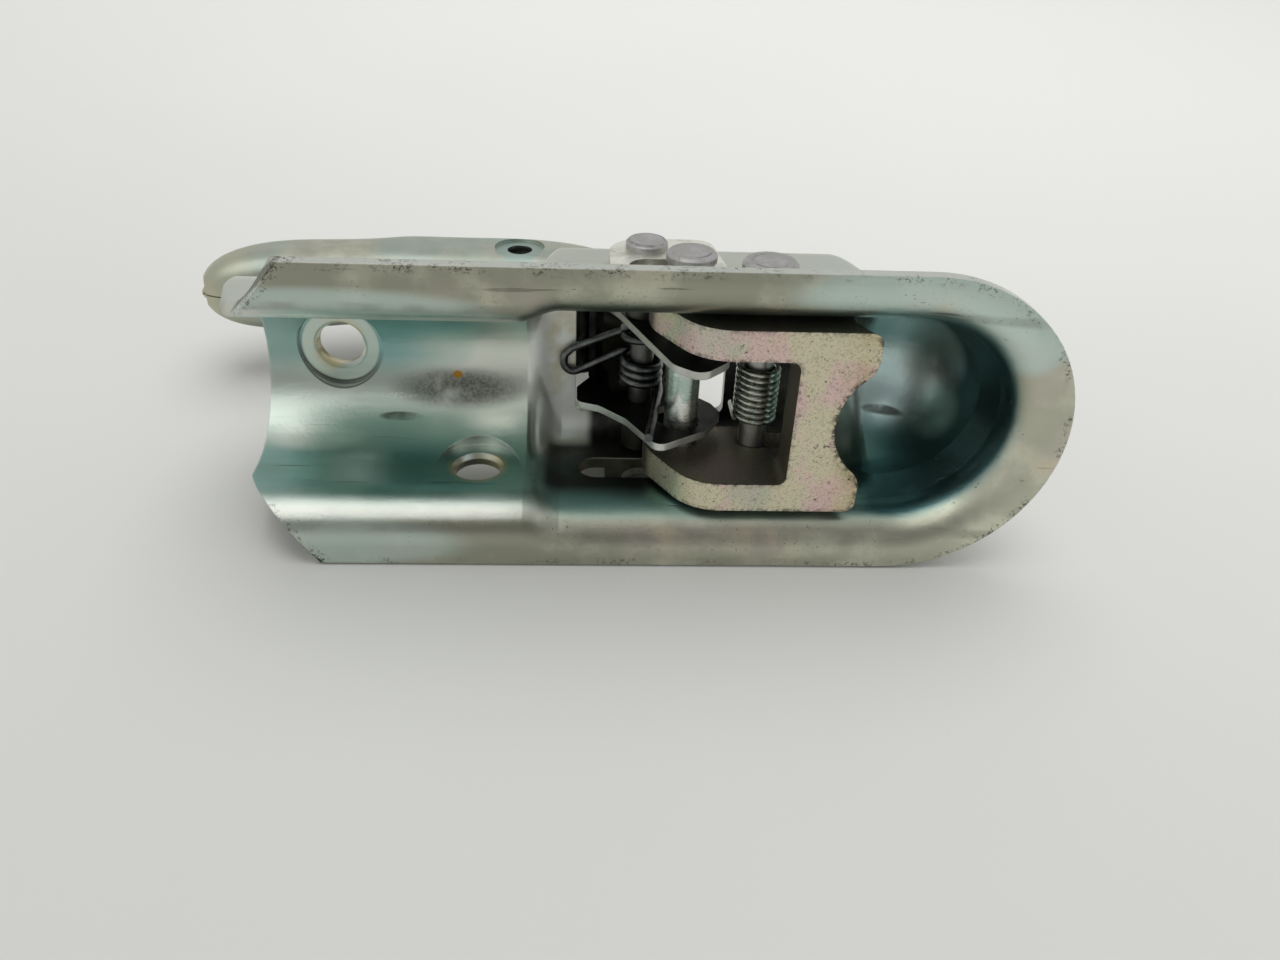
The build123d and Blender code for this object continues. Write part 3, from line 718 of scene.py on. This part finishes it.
def woundSpring(name, runs, values):
    points, edges = [], []
    for run in runs:
        edges += [(len(points) + i, len(points) + i + 1) for i in range(len(run) - 1)]
        points += [Vector(p) * mm for p in run]
    carrierMesh = bpy.data.meshes.new(name + "Runs")
    carrierMesh.from_pydata(points, edges, [])
    carrier = bpy.data.objects.new(name + "Runs", carrierMesh)
    bpy.context.collection.objects.link(carrier)
    coilNames = [key[:-5] for key in values if key.endswith("Turns")]
    modifier = carrier.modifiers.new("wound", "NODES")
    modifier.node_group = springTree(name + "Tree", coilNames)
    for item in modifier.node_group.interface.items_tree:
        if item.in_out == "INPUT" and item.name in values:
            modifier[item.identifier] = values[item.name]
    graph = bpy.context.evaluated_depsgraph_get()
    mesh = bpy.data.meshes.new_from_object(carrier.evaluated_get(graph))
    carrier.modifiers.remove(modifier)
    bpy.data.objects.remove(carrier)
    mesh.name = name
    piece = bpy.data.objects.new(name, mesh)
    bpy.context.collection.objects.link(piece)
    return piece


quarter = math.pi / 2

# double torsion spring on the lever's rivet, with a loop that lies against the lever's neck
leverSpringSet = {
    "axis": (-67.8, 20.0), "wire": 2.4, "radius": 5.15, "pitch": 2.45, "corner": 2.6,
    "nearY": -0.7, "nearTurns": 3.25, "farY": -7.3, "farTurns": 1.25,
    "loopX": -90.4, "loopZ": 27.65, "loopLeft": 8.4, "loopRight": 0.2, "foot": (-67.0, -12.0),
}
s = leverSpringSet
axisX, axisZ = s["axis"]
topZ = axisZ + s["radius"]
shoulder = s["loopX"] + s["wire"]
legX, legY = axisX + s["radius"], s["nearY"] + s["pitch"] * s["nearTurns"]
loopRun = [
    (axisX, s["nearY"], topZ), (axisX - s["radius"], s["nearY"], topZ),
    (shoulder, s["loopLeft"], s["loopZ"]), (s["loopX"], s["loopLeft"] - s["wire"], s["loopZ"]),
    (s["loopX"], s["loopRight"] + s["wire"], s["loopZ"]), (shoulder, s["loopRight"], s["loopZ"]),
    (axisX - s["radius"], s["farY"], topZ), (axisX, s["farY"], topZ),
]
leverSpring = woundSpring("leverSpring", [loopRun], {
    "Wire": s["wire"] * mm, "Corner": s["corner"] * mm, "Finish": finishes["black_spring"],
    "nearTurns": s["nearTurns"], "nearRadius": s["radius"] * mm,
    "nearRise": s["pitch"] * s["nearTurns"] * mm,
    "nearPlace": Vector((axisX, s["nearY"], axisZ)) * mm, "nearTurn": (-quarter, -quarter, 0.0),
    "farTurns": s["farTurns"], "farRadius": s["radius"] * mm,
    "farRise": -s["pitch"] * s["farTurns"] * mm,
    "farPlace": Vector((axisX, s["farY"], axisZ)) * mm, "farTurn": (-quarter, -quarter, 0.0),
})
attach(leverSpring, "coupling")
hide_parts("handle_spring")

# its lower leg, which the jaw's pin pushes back when the lever is lifted
legSet = {"bendTop": 13.2, "bendFoot": 11.7, "rings": 16}
bottomZ, footX, footZ = axisZ - s["radius"], *s["foot"]
legRun = [(legX, legY, axisZ), (legX, legY, bottomZ)]
for i in range(legSet["rings"] + 1):
    ringZ = legSet["bendTop"] + (legSet["bendFoot"] - legSet["bendTop"]) * i / legSet["rings"]
    legRun.append((legX + (footX - legX) * (bottomZ - ringZ) / (bottomZ - footZ), legY, ringZ))
legRun.append((footX, legY, footZ))
springLeg = woundSpring("springLeg", [legRun], {
    "Wire": s["wire"] * mm, "Corner": 0.0, "Finish": finishes["black_spring"],
})
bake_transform(springLeg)

# close-wound coil on the guide rivet, with a straight leg at each end
jawSpringSet = {
    "axis": (-35.8, 6.5), "wire": 1.8, "radius": 5.4, "pitch": 1.86,
    "turns": 9.0, "startY": -5.8, "leg": 9.0,
}
s = jawSpringSet
backX, backZ = s["axis"][0] - s["radius"], s["axis"][1]
endY = s["startY"] + s["pitch"] * s["turns"]
jawRuns = [[(backX, y, backZ), (backX, y, backZ + s["leg"])] for y in (s["startY"], endY)]
jawSpring = woundSpring("jawSpring", jawRuns, {
    "Wire": s["wire"] * mm, "Corner": 0.0, "Finish": finishes["bright_spring"],
    "coilTurns": s["turns"], "coilRadius": s["radius"] * mm, "coilRise": s["pitch"] * s["turns"] * mm,
    "coilPlace": Vector((s["axis"][0], s["startY"], backZ)) * mm, "coilTurn": (-quarter, -2 * quarter, 0.0),
})
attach(jawSpring, "coupling")
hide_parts("jaw_spring")
print("springs wound")


# thin pieces of the lever that only show as an edge or a lump
pressSet = {"sharp": 0.6, "segments": 2}


def pressed(name, sections, soft):
    shape = bmesh.new()
    rings = [[shape.verts.new(Vector(p) * mm) for p in ring] for ring in sections]
    count = len(rings[0])
    for first, second in zip(rings, rings[1:]):
        for i in range(count):
            shape.faces.new((first[i], first[(i + 1) % count], second[(i + 1) % count], second[i]))
    shape.faces.new(rings[0])
    shape.faces.new(rings[-1])
    bmesh.ops.recalc_face_normals(shape, faces=shape.faces)
    if soft:
        edges = [edge for edge in shape.edges if edge.calc_face_angle(0.0) > pressSet["sharp"]]
        bmesh.ops.bevel(shape, geom=edges, offset=soft * mm, segments=pressSet["segments"],
                        affect="EDGES", clamp_overlap=True)
    mesh = bpy.data.meshes.new(name)
    shape.to_mesh(mesh)
    shape.free()
    mesh.shade_smooth()
    mesh.materials.append(finishes["zinc_lever"])
    piece = bpy.data.objects.new(name, mesh)
    bpy.context.collection.objects.link(piece)
    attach(piece, "handle")


# lip turned back from the foot of the lever's neck, over the rear edge of the body's window
lipSet = {"under": ((-78.5, 37.6), (-84.0, 34.6), (-88.4, 33.5)), "thick": 1.3, "half": 12.1, "soft": 0.3}
outline = list(lipSet["under"]) + [(px, pz + lipSet["thick"]) for px, pz in reversed(lipSet["under"])]
lipEnds = [[(px, py, pz) for px, pz in outline] for py in (-lipSet["half"], lipSet["half"])]
pressed("neckLip", lipEnds, lipSet["soft"])

# weld bead where the lever's halves close at its tip
beadSet = {"centre": (-203.6, 0.0, 62.6), "half": (1.7, 2.3, 1.9), "steps": 14, "uneven": 0.07}
s = beadSet
bead = []
for i in range(1, s["steps"]):
    around = math.pi * i / s["steps"]
    ring = []
    for j in range(2 * s["steps"]):
        part = math.pi * j / s["steps"]
        lump = 1.0 + s["uneven"] * (math.sin(3.0 * part + 2.0 * around) - 1.0)
        ring.append((s["centre"][0] + s["half"][0] * lump * math.sin(around) * math.cos(part),
                     s["centre"][1] - s["half"][1] * math.cos(around),
                     s["centre"][2] + s["half"][2] * lump * math.sin(around) * math.sin(part)))
    bead.append(ring)
pressed("tipBead", bead, 0.0)
print("lever details made")
